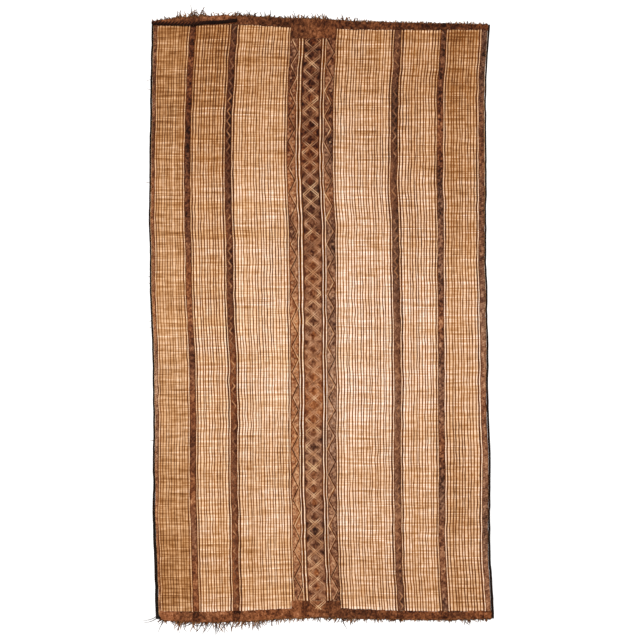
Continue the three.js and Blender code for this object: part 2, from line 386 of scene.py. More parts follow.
def add_node(tree: bpy.types.NodeTree, kind: str, settings: dict[str, object] | None = None,
             **sockets: object) -> bpy.types.Node:
    """Add a shader node, set its properties, and set or link its inputs.

    Args:
        tree: The material's node tree.
        kind: Node type.
        settings: Node properties.
        sockets: Input name with underscores for spaces, or i and a number, to a value or an output socket.

    Returns:
        The node.
    """
    node = tree.nodes.new(kind)
    for key, value in (settings or {}).items():
        setattr(node, key, value)
    for key, value in sockets.items():
        numbered = key[0] == "i" and key[1:].isdigit()
        socket = node.inputs[int(key[1:])] if numbered else node.inputs[key.replace("_", " ")]
        if isinstance(value, bpy.types.NodeSocket):
            tree.links.new(value, socket)
        else:
            socket.default_value = value
    return node


@dataclass(frozen=True)
class Finish:
    """A material whose colour runs over a plain and a warm ramp, by each point's tone and warm values."""

    name: str
    plain: tuple[str, ...]
    warmer: tuple[str, ...]
    grain_mm: tuple[float, float, float]
    grain_share: float
    relief_mm: float
    rough: tuple[float, float]
    shine: float

    def ramp(self, tree: bpy.types.NodeTree, colours: tuple[str, ...],
             factor: bpy.types.NodeSocket) -> bpy.types.NodeSocket:
        """Colours evenly spaced from tone 0 to tone 1.

        Args:
            tree: The material's node tree.
            colours: sRGB hex colours, dark to pale.
            factor: The tone's socket.

        Returns:
            The colour's socket.
        """
        node = add_node(tree, "ShaderNodeValToRGB", None, Fac=factor)
        stops = node.color_ramp.elements
        for position in np.linspace(0, 1, len(colours))[1:-1]:
            stops.new(float(position))
        for stop, code in zip(stops, colours):
            stop.color = linear_colour(code)
        return node.outputs["Color"]

    def material(self) -> bpy.types.Material:
        """Make the material once, and give the same one again after that.

        Returns:
            The material.
        """
        known = bpy.data.materials.get(self.name)
        if known:
            return known
        made = bpy.data.materials.new(self.name)
        made.use_nodes = True
        tree = made.node_tree
        tree.nodes.clear()
        where = add_node(tree, "ShaderNodeTexCoord").outputs["Object"]
        sizes = tuple(1000 / size for size in self.grain_mm)
        scaled = add_node(tree, "ShaderNodeMapping", None, Vector=where, Scale=sizes).outputs["Vector"]
        grain = add_node(tree, "ShaderNodeTexNoise", None, Vector=scaled, Scale=1.0, Detail=3.0,
                         Roughness=0.6).outputs["Fac"]
        tone = add_node(tree, "ShaderNodeAttribute", {"attribute_name": "tone"}).outputs["Fac"]
        warm = add_node(tree, "ShaderNodeAttribute", {"attribute_name": "warm"}).outputs["Fac"]
        centred = add_node(tree, "ShaderNodeMath", {"operation": "SUBTRACT"}, i0=grain, i1=0.5).outputs[0]
        mottled = add_node(tree, "ShaderNodeMath", {"operation": "MULTIPLY_ADD"}, i0=centred,
                           i1=self.grain_share, i2=tone).outputs[0]
        mix = add_node(tree, "ShaderNodeMix", {"data_type": "RGBA"}, i0=warm,
                       i6=self.ramp(tree, self.plain, mottled), i7=self.ramp(tree, self.warmer, mottled))
        rough = add_node(tree, "ShaderNodeMapRange", None, Value=grain, To_Min=self.rough[0],
                         To_Max=self.rough[1]).outputs["Result"]
        bump = add_node(tree, "ShaderNodeBump", None, Height=grain, Strength=0.8,
                        Distance=self.relief_mm * MM).outputs["Normal"]
        shader = add_node(tree, "ShaderNodeBsdfPrincipled", None, Base_Color=mix.outputs[2], Roughness=rough,
                          Normal=bump, Specular_IOR_Level=self.shine)
        add_node(tree, "ShaderNodeOutputMaterial", None, Surface=shader.outputs["BSDF"])
        return made


# Split reeds: dry straw to honey, darker brown streaks, one thin stem beside the next.
REED = Finish("dry_split_reed",
              ("#4a2608", "#7d4f27", "#a97b50", "#cba17b", "#e2bfa3", "#f3dcc9"),
              ("#472508", "#764922", "#9e6d40", "#c09062", "#d8ae82", "#eccba6"),
              (160, 5.5, 60), 1.0, 0.35, (0.62, 0.85), 0.10)
# Thongs: narrow brown leather laces, paler where they cross over a reed.
THONG = Finish("lacing_thong_leather",
               ("#280e02", "#4b2006", "#733d11", "#97602c"),
               ("#2b0f02", "#522406", "#7c4412", "#9f692c"),
               (4, 9, 4), 0.5, 0.35, (0.6, 0.85), 0.05)
# Band leather: brown to near black, woven close, with rusty and olive stretches.
BAND = Finish("woven_band_leather",
              ("#1b0f09", "#3e2418", "#63412f", "#8a654d", "#b48f75"),
              ("#240d06", "#502512", "#7c4626", "#9e653d", "#be8c60"),
              (6.0, 7.0, 6.0), 0.8, 0.4, (0.6, 0.85), 0.05)
# Pattern lace: thin tan strips worked over the bands, faded to a pinkish buff.
LACE = Finish("pattern_lace_leather",
              ("#543220", "#7a543c", "#a0765a", "#c59f82"),
              ("#5b341c", "#895936", "#ad7b50", "#cba578"),
              (5, 6, 5), 0.7, 0.3, (0.6, 0.85), 0.06)
# Binding: black leather wound close round the edge, with a low sheen on the wraps. Its pale stops carry
# painted highlights on the wraps' crests and on the cord's strands.
BLACK = Finish("black_binding_leather",
               ("#080504", "#15100d", "#2b221d", "#5a4e46"),
               ("#0b0503", "#240f07", "#4d2613", "#7a4726"),
               (3, 5, 3), 0.4, 0.3, (0.5, 0.75), 0.04)
# End strips: rough hide, brown to rust with nearly black patches, its nap combed lengthwise.
HIDE = Finish("rough_end_hide",
              ("#1c0c06", "#3d1f11", "#5f361f", "#855334", "#a97b57"),
              ("#250f08", "#4d2715", "#764426", "#976040", "#b98862"),
              (4.0, 8.0, 4.0), 1.2, 0.9, (0.65, 0.9), 0.04)
# Fringe: frayed leather ends, brown with dark roots and a few sandy tips.
FRAY = Finish("frayed_leather_ends",
              ("#1c0f09", "#3a2114", "#5c3922", "#875c3b"),
              ("#24120a", "#472814", "#704425", "#9d7145"),
              (4, 4, 4), 0.4, 0.3, (0.65, 0.9), 0.04)


# Pieces

@dataclass
class ReedRows:
    """The reeds' spacing along the mat, shared by every panel, since each reed runs across the whole mat."""

    pitch: float = 10.0 * MM
    under: float = 14 * MM
    shares: Array = field(init=False)
    lift: Array = field(init=False)

    def __post_init__(self) -> None:
        """Reed widths vary by a third. Each reed has a low row at its edge and a high one at its middle."""
        random = np.random.default_rng(11)
        count = int(3.05 / self.pitch)
        edges = np.concatenate([[0], np.cumsum(random.uniform(0.67, 1.33, count))])
        edges /= edges[-1]
        self.shares = np.empty(2 * count + 1)
        self.shares[0::2] = edges
        self.shares[1::2] = (edges[:-1] + edges[1:]) / 2
        self.lift = np.zeros(2 * count + 1)
        self.lift[1::2] = random.uniform(0.55, 1.0, count)


@dataclass
class ReedPanel:
    """Reeds between two bands, pulled down at each thong into lengthwise bars, with those thongs."""

    plan: MatPlan
    rows: ReedRows
    index: int
    bars: int
    name: str
    shade: float = 0.0
    gold: float = 0.3
    lace: float = 5.6 * MM
    beside: tuple[float, float] = (7.2 * MM, 7.2 * MM)
    low: float = 2.0 * MM
    high: float = 2.9 * MM
    relief: float = 0.8 * MM
    tuck: float = 1.5 * MM
    edge_lace: float = 9.0 * MM
    # Depth of the painted shade down each bar's sides into the valley beside a thong.
    valley_shade: float = 0.36
    fade: float = 0.0
    rim: float = -0.02
    # Factor of that painted shade at a rim bar.
    rim_valley_shade: float = 1.8
    pale: float = 0.87
    jitter: float = 3.4 * MM
    tip_glow: float = 0.24
    tip_length: float = 9 * MM

    def thong_shares(self) -> Array:
        """Place of each line between bars, from 0 to 1, a little uneven, with a narrower bar at each rim.

        Returns:
            One place a line.
        """
        lines = np.arange(self.bars + 1, dtype=float)
        stray = 0.1 * np.sin(2.4 * lines + self.index)
        stray[[0, -1]] = 0
        if self.bars > 2:
            stray[1], stray[-2] = -0.1, 0.1
        return (lines + stray) / self.bars

    def lace_widths(self) -> Array:
        """Width of each thong: heavier next to a rim bar, and half hidden under the band at both sides.

        Returns:
            One width a line.
        """
        width = np.full(self.bars + 1, self.lace)
        width[1], width[-2] = self.beside
        width[[0, -1]] = self.edge_lace
        return width

    def grid(self, shares: Array, rows: Array) -> tuple[Array, Array]:
        """X and Y where lengthwise lines cross reed rows.

        Args:
            shares: Places across the panel, 0 to 1.
            rows: Places along it, 0 to 1.

        Returns:
            X and Y, each as [row, line].
        """
        left, right = self.plan.bands[self.index], self.plan.bands[self.index + 1]
        middle = (left.right_at(np.zeros(1)) + right.left_at(np.zeros(1))) / 2
        along = self.plan.row_y(middle, rows, self.rows.under)[:, None]
        start = left.right_at(along) - self.tuck
        across = start + shares * (right.left_at(along) + self.tuck - start)
        jitter = self.jitter * (lattice_noise(across, along, (0.0146, 0.045), 5) - 0.5)
        across = across + wander(across, along) + jitter
        return across, self.plan.row_y(across, rows[:, None], self.rows.under)

    def streaks(self, across: Array, along: Array) -> Array:
        """Reed tone: each reed's own, unlike its neighbours', wider drifts, flecks, and a few dark reeds.

        Args:
            across: X of the points.
            along: Y of the points.

        Returns:
            Tone to add at each point.
        """
        reed = np.arange(len(along))[:, None] / 2 - 0.5
        own = [lattice_noise(across, reed + k, (0.20, 1), 21) - 0.5 for k in (-1, 0, 1)]
        fine = own[1] - 0.35 * (own[0] + own[2])
        batch = lattice_noise(across, along, (0.5, 0.045), 22) - 0.5
        drift = lattice_noise(across, along, (0.8, 0.15), 23) - 0.5
        fleck = lattice_noise(across, along, (0.016, 0.012), 24) - 0.5
        dark = smooth_step((lattice_noise(across, reed, (0.30, 1), 25) - 0.84) / 0.12)
        return 0.25 * fine + 0.06 * batch + 0.08 * drift + 0.20 * fleck - 0.10 * dark

    @staticmethod
    def darker_to_ends(along: Array) -> Array:
        """Darkening towards the ends, nil a little below the middle."""
        return -0.24 * (np.abs(along + 0.26) / 1.61) ** 1.5

    def reeds(self) -> bpy.types.Object:
        """Height: low beside a thong, high over the bar between two, plus each reed's round back.

        Returns:
            The panel's reeds as one object.
        """
        lines = self.thong_shares()
        left, right = self.plan.bands[self.index], self.plan.bands[self.index + 1]
        middle = np.zeros(1)
        span = right.left_at(middle) - left.right_at(middle) + 2 * self.tuck
        half = 0.4 * self.lace_widths() / span
        starts, ends = lines[:-1] + half[:-1], lines[1:] - half[1:]
        slope = 0.22 * (ends - starts)
        shares = np.stack([starts, starts + slope, ends - slope, ends], -1).ravel()
        crest = np.tile([0.0, 1.0, 1.0, 0.0], self.bars)
        lift = self.rows.lift[:, None]
        across, along = self.grid(shares, self.rows.shares)
        height = self.low + (self.high - self.low) * crest + self.relief * lift * (0.3 + 0.7 * crest)
        bar = np.repeat(np.arange(self.bars), 4)
        at_rim = (bar == 0) | (bar == self.bars - 1)
        per_bar = np.random.default_rng(40 + self.index).normal(0, 0.045, self.bars)[bar]
        tips = np.minimum(self.plan.top.inner_at(across) - along, along - self.plan.foot.inner_at(across))
        # Painted shade: each bar is darker down its sides into the valley beside a thong, more so at a rim
        # bar, and darker along the low row at each reed's edge, between reeds.
        tone = (self.pale + self.shade + per_bar + np.where(at_rim, self.rim, 0) + self.darker_to_ends(along)
                + self.fade * along
                + np.where(at_rim, 0.5, 1.0) * self.streaks(across, along)
                + self.tip_glow * np.exp(-np.clip(tips, 0, None) / self.tip_length)
                - 0.10 * (1 - lift) - self.valley_shade * np.where(at_rim, self.rim_valley_shade, 1.0) * (1 - crest))
        warm = np.clip(self.gold + 0.9 * (lattice_noise(across, along, (0.6, 0.05), 31) - 0.5), 0, 1)
        surface = Surface(np.stack([across, along, height], -1)[None], tone[None], warm[None])
        return surface.make(f"reeds_{self.name}")

    def thongs(self) -> bpy.types.Object:
        """Each thong: a low ridge of three columns that swells over one reed and narrows at the next.

        Returns:
            The panel's thongs as one object.
        """
        lines = self.thong_shares()
        rows = self.rows.shares[0::2]
        across, along = self.grid(lines, rows)
        over = (np.arange(len(rows))[:, None] + np.arange(len(lines))) % 2
        width = self.lace_widths()
        bold = np.clip((width - 5.6 * MM) / (2.5 * MM), 0, 1)
        loose = lattice_noise(across, along, (0.10, 0.35), 51)
        swell = np.where(bold > 0, 1.0, 0.78 + 0.38 * loose + 0.06 * along) * (0.88 + 0.24 * over)
        width = width * swell
        crest = 3.0 * MM + 0.6 * MM * over
        rim = np.full_like(across, 2.5 * MM)
        points = np.stack([np.stack([across - width / 2, along, rim], -1),
                           np.stack([across, along, crest], -1),
                           np.stack([across + width / 2, along, rim], -1)], axis=2)
        tone = 0.44 + 0.35 * (lattice_noise(across, along, (0.02, 0.05), 52) - 0.5) + 0.12 * over
        tone = tone - 0.22 * bold + 0.25 * (0.5 - loose) * (bold == 0)
        strips = points.transpose(1, 0, 2, 3)
        tones = np.repeat(tone.T[:, :, None], 3, axis=2)
        return Surface(strips, tones, np.full_like(tones, 0.5)).make(f"thongs_{self.name}")

    def build(self) -> list[bpy.types.Object]:
        """Make and place the reeds and their thongs."""
        return [place(self.reeds(), REED, "reed", "reed_bed"),
                place(self.thongs(), THONG, "reed", "reed_bed")]


@dataclass
class ReedGround:
    """The underside of the reeds: one thin sheet under every panel and band."""

    plan: MatPlan
    columns: int = 45
    lines: int = 160
    level: float = 0.7 * MM
    ripple: float = 0.35 * MM

    def build(self) -> bpy.types.Object:
        """A flat sheet between the bindings, from end to end, with a slight ripple at each reed.

        Returns:
            The placed sheet.
        """
        rows = np.linspace(0, 1, self.lines)
        shares = np.linspace(0, 1, self.columns)
        along = (-1.53 + 3.06 * rows)[:, None]
        left = self.plan.left_side.right_at(along)
        across = left + shares * (self.plan.right_side.left_at(along) - left)
        across = across + wander(across, along)
        low, high = self.plan.foot.outer_at(across), self.plan.top.outer_at(across)
        along = low + rows[:, None] * (high - low)
        height = self.level + self.ripple * (lattice_noise(across, along, (0.3, 0.014), 61) - 0.5)
        tone = 0.5 + 0.5 * (lattice_noise(across, along, (0.4, 0.014), 62) - 0.5)
        points = np.stack([across, along, height], -1)
        surface = Surface(points[None], tone[None], np.full_like(tone, 0.4)[None])
        return place(surface.make("reed_underside"), REED, "reed", "reed_bed")


class Motif(Enum):
    """What is worked on a band."""

    BORDER = "border"
    PLAIN = "plain"
    WAVE = "wave"
    TRIANGLES = "triangles"
    LOZENGES = "lozenges"


@dataclass
class LeatherBand:
    """A band of woven leather along the mat, with the lace worked over it."""

    plan: MatPlan
    index: int
    motif: Motif
    slot: str
    pitch: float
    columns: int
    row_step: float = 6 * MM
    phase: float = 0.0
    facing: int = 1
    base: float = 0.45
    rust: float = 0.35
    run_on: float = 0.0
    flecks: float = 0.5
    top: float = 4.0 * MM
    crown: float = 0.4 * MM
    rib: float = 0.18 * MM
    rolled: float = 1.6 * MM
    over_block: float = 1.6 * MM

    @property
    def node(self) -> str:
        """The CAD node that this band replaces."""
        return self.plan.band_names[self.index]

    @property
    def edges(self) -> LongEdges:
        """The node's edges."""
        return self.plan.bands[self.index]

    def at(self, along: Array, share: Array) -> Array:
        """X at a share from -1, the left edge, to 1, the right one, with the line's own stray."""
        across = self.edges.across(along, (share + 1) / 2)
        return across + wander(across, along)

    def patches(self, share: Array, along: Array) -> tuple[Array, Array]:
        """Tone and warmth of the motif's patches, before the weave's own mottling.

        Args:
            share: Across the band, -1 to 1.
            along: Y.

        Returns:
            Tone and warmth to add.
        """
        turns = along / self.pitch + self.phase
        cell = np.floor(turns)
        inside = turns - cell - 0.5
        pick = np.random.default_rng(70 + self.index).random((4, 256))
        chance = pick[:, cell.astype(int) % 256]
        tone, warm = np.zeros_like(turns * share), np.zeros_like(turns * share)
        if self.motif is Motif.LOZENGES:
            core = smooth_step((1 - np.abs(share) / 0.36 - np.abs(inside) / 0.35) / 0.16)
            tone = tone - core * (0.08 + 0.15 * chance[0])
            warm = warm + core * (1.2 * chance[1] - 0.3)
            half = np.floor(turns + 0.5)
            offset = turns + 0.5 - half - 0.5
            side_chance = pick[2:, half.astype(int) % 256]
            tooth = smooth_step((1 - (1 - np.abs(share)) / 0.46 - np.abs(offset) / 0.30) / 0.2)
            tone = tone - tooth * (0.08 + 0.20 * np.where(share > 0, side_chance[0], side_chance[1]))
        if self.motif is Motif.TRIANGLES:
            wave = self.facing * zigzag(turns)
            fill = smooth_step((0.75 * wave - self.facing * share - 0.25) / 0.15)
            tone = tone - fill * (0.02 + 0.22 * chance[0] ** 2)
            warm = warm + fill * 0.4 * (chance[1] - 0.5)
        if self.motif is Motif.WAVE:
            wave = 0.55 * zigzag(turns)
            above = smooth_step((share - wave - 0.3) / 0.2)
            tone = tone - 0.10 * above + 0.05 * smooth_step((wave - share - 0.4) / 0.2)
        if self.motif is Motif.PLAIN:
            step = smooth_step((np.abs(inside) - 0.32) / 0.08)
            tone = tone + 0.22 * step * (chance[0] - 0.2) + 0.10 * (chance[1] - 0.5)
        if self.motif is Motif.BORDER:
            slant = zigzag(along / (12 * MM) + 0.5 * share)
            tone = tone + 0.16 * slant
        return tone, warm

    def sheet(self) -> bpy.types.Object:
        """The band: a thin strip, a little crowned and rolled down at its edges, ribbed by the weave.

        Returns:
            The strip as one object.
        """
        length = self.edges.along[-1] - self.edges.along[0]
        rows = int(length / self.row_step)
        along = np.linspace(self.edges.along[0], self.edges.along[-1], rows)[:, None]
        share = np.linspace(-1, 1, self.columns)
        across = self.at(along, share)
        weave = self.rib * np.where((np.arange(rows)[:, None] + np.arange(self.columns)) % 2, 1, -1)
        height = self.top + self.crown * (1 - share ** 2) - self.rolled * (np.abs(share) > 0.999) + weave
        tone, warm = self.patches(share, along)
        mottle = lattice_noise(across, along, (0.011, 0.013), 80) - 0.5
        stitch = lattice_noise(across, along, (0.0065, 0.0075), 84) - 0.5
        stretch = lattice_noise(across, along, (0.5, 0.16), 81 + self.index) - 0.5
        hue = lattice_noise(across, along, (0.3, 0.22), 95 + self.index) - 0.5
        tone = self.base + tone + 0.30 * mottle + self.flecks * stitch + 0.22 * stretch
        tone = tone - 0.12 * (np.abs(share) > 0.9)
        tone = tone + 0.06 - 0.21 * smooth_step((along + 0.3) / 1.7)
        warm = np.clip(self.rust + warm + 0.9 * hue, 0, 1)
        points = np.stack(np.broadcast_arrays(across, along, height), -1)
        return Surface(points[None], tone[None], warm[None]).make(self.node)

    def ribbon(self, shares: list[Array], along: Array, width: float, name: str, tone: float,
               finish: Finish) -> bpy.types.Object:
        """Laces laid over the band: three columns along each path, the middle one raised.

        Args:
            shares: Place across the band at each row, one array a lace.
            along: Y of the rows.
            width: Width of a lace.
            name: Name of the new object.
            tone: Mean tone.
            finish: Its leather.

        Returns:
            The laces as one placed piece.
        """
        paths = np.stack([np.stack([self.at(along, share), along], -1) for share in shares])
        ahead = np.gradient(paths, axis=1)
        side = np.stack([ahead[..., 1], -ahead[..., 0]], -1)
        side /= np.linalg.norm(side, axis=-1, keepdims=True)
        offsets = np.array([-0.5, 0, 0.5])[:, None] * width
        flat = paths[:, :, None, :] + side[:, :, None, :] * offsets
        crowned = self.top + self.crown + np.array([0.05, 0.55, 0.05]) * MM
        on_block = self.over_block * (flat[..., 1] < self.edges.along[0])
        points = np.concatenate([flat, (crowned + on_block)[..., None]], -1)
        worn = lattice_noise(flat[..., 0], flat[..., 1], (0.02, 0.02), 120 + self.index) - 0.5
        drift = lattice_noise(flat[..., 0], flat[..., 1], (0.06, 0.05), 121 + self.index) - 0.5
        surface = Surface(points, tone + 0.9 * worn + 0.5 * drift, np.clip(0.4 + 0.9 * drift, 0, 1))
        return place(surface.make(name), finish, self.slot, self.node)

    def lace_rows(self, per_pitch: int) -> Array:
        """Rows at even parts of the pitch, so that each turn of a zigzag falls on a row.

        Args:
            per_pitch: Rows in one pitch.

        Returns:
            Y of the rows.
        """
        step = self.pitch / per_pitch
        start = self.phase * self.pitch
        first = math.ceil((self.edges.along[0] + 2 * MM - self.run_on + start) / step)
        last = math.floor((self.edges.along[-1] - 2 * MM + start) / step)
        return np.arange(first, last + 1) * step - start

    def dots(self, along: Array, share: Array, radius: float, name: str) -> bpy.types.Object:
        """Small round leather studs: each a low dome of rings, its height falling with the radius squared.

        Args:
            along: Y of each stud.
            share: Place across the band.
            radius: Radius of a stud.
            name: Name of the new object.

        Returns:
            The studs as one placed piece.
        """
        reach = np.array([1.0, 0.75, 0.4, 0.02])
        turn = np.linspace(0, 2 * np.pi, 9)[:-1]
        centre = self.at(along, share)
        points = np.stack(np.broadcast_arrays(
            centre[:, None, None] + radius * reach[:, None] * np.cos(turn),
            along[:, None, None] + radius * reach[:, None] * np.sin(turn),
            self.top + self.crown + 0.1 * MM + 0.6 * MM * (1 - reach[:, None] ** 2)), -1)
        tone = np.broadcast_to(np.array([0.75, 0.7, 0.12, 0.05])[:, None], points.shape[1:3])
        tones = np.repeat(tone[None], len(along), axis=0)
        return place(Surface(points, tones, np.full_like(tones, 0.4), closed=True).make(name), LACE,
                     self.slot, self.node)

    def lacing(self) -> list[bpy.types.Object]:
        """The lace of this band's motif.

        Returns:
            The placed laces and studs, none on a band without lace.
        """
        if self.motif is Motif.WAVE:
            rows = self.lace_rows(12)
            wave = 0.55 * zigzag(rows / self.pitch + self.phase)
            return [self.ribbon([wave], rows, 6.5 * MM, f"{self.node}_wave", 0.10, LACE)]
        if self.motif is Motif.TRIANGLES:
            rows = self.lace_rows(24)
            turns = rows / self.pitch + self.phase
            wave = 0.80 * zigzag(turns)
            pale = self.ribbon([wave + 0.30 * self.facing], rows, 3.8 * MM, f"{self.node}_line", 0.54, LACE)
            dark = self.ribbon([wave], rows, 4.6 * MM, f"{self.node}_dark_line", 0.12, THONG)
            first = np.arange(math.ceil(turns[0] + 0.5), math.floor(turns[-1] - 0.5))
            peaks = (np.concatenate([first, first + 0.5]) - self.phase) * self.pitch
            sides = np.concatenate([np.full(len(first), 0.45), np.full(len(first), -0.45)])
            return [pale, dark, self.dots(peaks, sides, 5.5 * MM, f"{self.node}_dots")]
        if self.motif is Motif.LOZENGES:
            rows = self.lace_rows(16)
            turns = rows / self.pitch + self.phase
            shares = []
            for sign in (1, -1):
                for shift in (-0.085, 0.085):
                    shares.append(sign * 0.88 * zigzag(turns / 2 + shift / 2 + 0.25))
            return [self.ribbon(shares, rows, 3.8 * MM, f"{self.node}_lattice", 0.55, LACE)]
        return []

    def build(self) -> list[bpy.types.Object]:
        """Make and place the band and its lace."""
        return [place(self.sheet(), BAND, self.slot, self.node), *self.lacing()]


@dataclass
class SideBinding:
    """Black leather wound over the mat's side: a low roll with slanting wraps."""

    edges: LongEdges
    node: str
    sides: int = 10
    wrap: float = 9 * MM
    rows_per_wrap: int = 3
    height: float = 4.8 * MM
    ridge: float = 0.16
    knot: float = 0.0
    knot_at: float = 6 * MM
    knot_length: float = 8 * MM

    def build(self) -> bpy.types.Object:
        """Half ellipse on the floor, its radius waving once a wrap, swollen inwards at the foot's knot.

        Returns:
            The placed binding.
        """
        length = self.edges.along[-1] - self.edges.along[0]
        count = int(length / self.wrap) * self.rows_per_wrap
        along = np.linspace(self.edges.along[0], self.edges.along[-1], count)[:, None]
        left, right = self.edges.left_at(along), self.edges.right_at(along)
        stray = wander((left + right) / 2, along)
        angle = np.linspace(-0.15 * np.pi, 1.15 * np.pi, self.sides)
        phase = 2 * np.pi * along / self.wrap + 1.6 * angle
        reach = 1 - self.ridge * (0.5 + 0.5 * np.cos(phase))
        across = (left + right) / 2 + stray + (right - left) / 2 * reach * np.cos(angle)
        up = np.clip(0.25 * self.height + 0.75 * self.height * reach * np.sin(angle), 0.15 * MM, None)
        jag = 1.5 * MM * (lattice_noise(across, along, (0.05, 0.03), 131) - 0.5)
        lump = np.exp(-((along - self.edges.along[0] - self.knot_at) / self.knot_length) ** 2)
        across = across + self.knot * lump * (0.5 + 0.5 * np.cos(angle))
        up = up + 0.45 * self.knot * lump * np.clip(np.sin(angle), 0, 1) ** 0.5
        points = np.stack(np.broadcast_arrays(across + jag, along, up), -1)
        # Painted highlight: paler on the wraps' crests along the top of the roll, with painted shade left
        # near black in the grooves between wraps.
        tone = 0.10 + 0.30 * (reach - 1 + self.ridge) / self.ridge * smooth_step(np.sin(angle))
        tone = tone + 0.3 * (lattice_noise(across, along, (0.03, 0.02), 132) - 0.5)
        warm = np.clip(lattice_noise(across, along, (0.2, 0.12), 133) - 0.15, 0, 1)
        surface = Surface(points[None], tone[None], warm[None], closed=True)
        return place(surface.make(self.node), BLACK, "black_leather", self.node)


def hide_tones(plan: MatPlan, end: End, across: Array, along: Array) -> tuple[Array, Array]:
    """Tone and warmth of the rough hide at an end: mottled, dark where a narrow band or a bar pair runs in.

    Args:
        plan: The mat's lines.
        end: Which end.
        across: X of the points.
        along: Y of the points.

    Returns:
        Tone and warmth of each point.
    """
    sign = end.value
    patch = lattice_noise(across, along, (0.085, 0.06), 143 + sign) - 0.5
    mottle = lattice_noise(across, along, (0.022, 0.013), 146 + sign) - 0.5
    nap = lattice_noise(across, along, (0.007, 0.009), 149 + sign) - 0.5
    base, lean = (0.34, -0.17) if end is End.TOP else (0.41, -0.12)
    tone = base + lean * across + 0.22 * patch + 0.30 * mottle + 0.45 * nap
    at_end = np.array([sign * 1.46])
    lefts = [float(band.left_at(at_end)[0]) for band in plan.bands]
    rights = [float(band.right_at(at_end)[0]) for band in plan.bands]
    narrow = [(lefts[i], rights[i]) for i in (1, 2, 6, 7)]
    pairs = [(rights[3], lefts[4]), (rights[4], lefts[5])]
    darks = (0.12, 0.12, 0.10, 0.10, 0.06, 0.06) if end is End.TOP else (0.26, 0.26, 0.14, 0.14, 0.16, 0.16)
    for (left, right), dark in zip(narrow + pairs, darks):
        off = np.abs(across - (left + right) / 2) / ((right - left) / 2)
        tone = tone - dark * smooth_step((1.5 + 0.8 * mottle - off) / 0.5)
    if end is End.FOOT:
        tone = tone + 0.07 * ((across > lefts[3]) & (across < rights[5]))
    warm = np.clip(1.5 * lattice_noise(across, along, (0.10, 0.5), 152 + sign) - 0.3, 0, 1)
    return tone, warm


@dataclass
class EndStrip:
    """Rough hide across one end, deeper at the middle bands."""

    plan: MatPlan
    line: EndLine
    step: float = 4 * MM
    rows: int = 18
    top: float = 5.2 * MM
    rough: float = 1.0 * MM
    jag: float = 4 * MM
    roll: float = 1.2 * MM

    def build(self) -> bpy.types.Object:
        """A lumpy strip from its ragged edge on the reeds to the mat's end, where it is rolled down.

        Returns:
            The placed strip.
        """
        sign = self.line.end.value
        block_left, block_right, block_y = self.line.block
        start, stop = self.line.outer[0][0], self.line.outer[0][-1]
        brim = np.array([block_left, block_left + 0.4 * MM, block_right - 0.4 * MM, block_right])
        across = np.sort(np.concatenate([np.arange(start, stop, self.step), brim, [stop]]))
        inner = self.line.inner_at(across)
        inside = (across > block_left + 0.1 * MM) & (across < block_right - 0.1 * MM)
        ragged = self.jag * (lattice_noise(across, np.zeros(1), (0.009, 1), 141) - 0.5)
        inner = np.where(inside, block_y, inner) + ragged
        outer = self.line.outer_at(across)
        share = np.linspace(0, 1, self.rows)[:, None]
        along = inner + share * (outer - inner)
        wide = np.broadcast_to(across, along.shape)
        lumps = self.rough * (lattice_noise(wide, along, (0.010, 0.008), 142) - 0.5)
        rolled = smooth_step((1 - share) / 0.12)
        height = self.top - self.roll * (1 - rolled) + lumps
        tone, warm = hide_tones(self.plan, self.line.end, wide, along)
        points = np.stack([wide, along, height], -1)
        if sign < 0:
            points, tone, warm = points[::-1], tone[::-1], warm[::-1]
        name = f"end_strip_{self.line.end.word}"
        return place(Surface(points[None], tone[None], warm[None]).make(name), HIDE, "strip_leather", name)


@dataclass
class TwistedCord:
    """Dark cord of twisted leather, sewn along the left part of the top strip."""

    node: str = "end_cord"
    steps: int = 220
    sides: int = 16
    strands: int = 3
    lay: float = 52 * MM
    lobe: float = 0.2
    half_width: float = 11.5 * MM
    shift: float = 2.5 * MM
    end_share: float = 0.012
    end_lump: float = 0.35

    def build(self) -> bpy.types.Object:
        """A flattened tube along the node's middle line, swollen at its left end: lobes turn once a lay.

        Returns:
            The placed cord.
        """
        corners = node_points(self.node)
        low, high = corners.min(axis=0), corners.max(axis=0)
        stations = np.linspace(low[0] + 10 * MM, high[0] - 10 * MM, 24)
        near = np.abs(corners[:, 0] - stations[:, None]) < 12 * MM
        lower = np.where(near, corners[:, 1], np.inf).min(axis=1)
        upper = np.where(near, corners[:, 1], -np.inf).max(axis=1)
        middle = np.convolve(np.pad((lower + upper) / 2, 1, mode="edge"), np.ones(3) / 3, "valid")
        across = np.linspace(low[0], high[0], self.steps)[:, None]
        centre = smooth_curve(across, stations, middle)
        angle = np.linspace(0, 2 * np.pi, self.sides + 1)[:-1]
        turn = 2 * np.pi * across / self.lay
        reach = 1 - self.lobe + self.lobe * np.abs(np.cos(self.strands * (angle - turn) / 2))
        share = (across - low[0]) / (high[0] - low[0])
        taper = np.sqrt(np.clip(np.minimum(share, 1 - share) / self.end_share, 0, 1))
        taper = taper * (1 - 0.12 * smooth_step(share))
        taper = taper * (1 + self.end_lump * np.exp(-((share - self.end_share) / self.end_share) ** 2))
        half_up = (high[2] - low[2]) / 2
        points = np.stack(np.broadcast_arrays(
            across, centre - self.shift - self.half_width * taper * reach * np.cos(angle),
            low[2] + half_up + half_up * taper * reach * np.sin(angle)), -1)
        ridge = (reach - 1 + self.lobe) / self.lobe
        upper_side = 0.5 - 0.5 * np.cos(angle)
        # Painted highlight: the strands' ridges are paler on the side towards the mat's top end, less so to
        # the right. The grooves between strands stay near black as painted shade.
        tone = 0.08 + 0.95 * ridge ** 2 * upper_side * (1 - 0.75 * smooth_step((share - 0.35) / 0.35))
        tone = tone + 0.2 * (lattice_noise(across, 0.1 * angle, (0.02, 0.02), 151) - 0.5)
        surface = Surface(points[None], tone[None], np.full_like(tone, 1.0)[None], closed=True)
        return place(surface.make(self.node), BLACK, "black_leather", self.node)


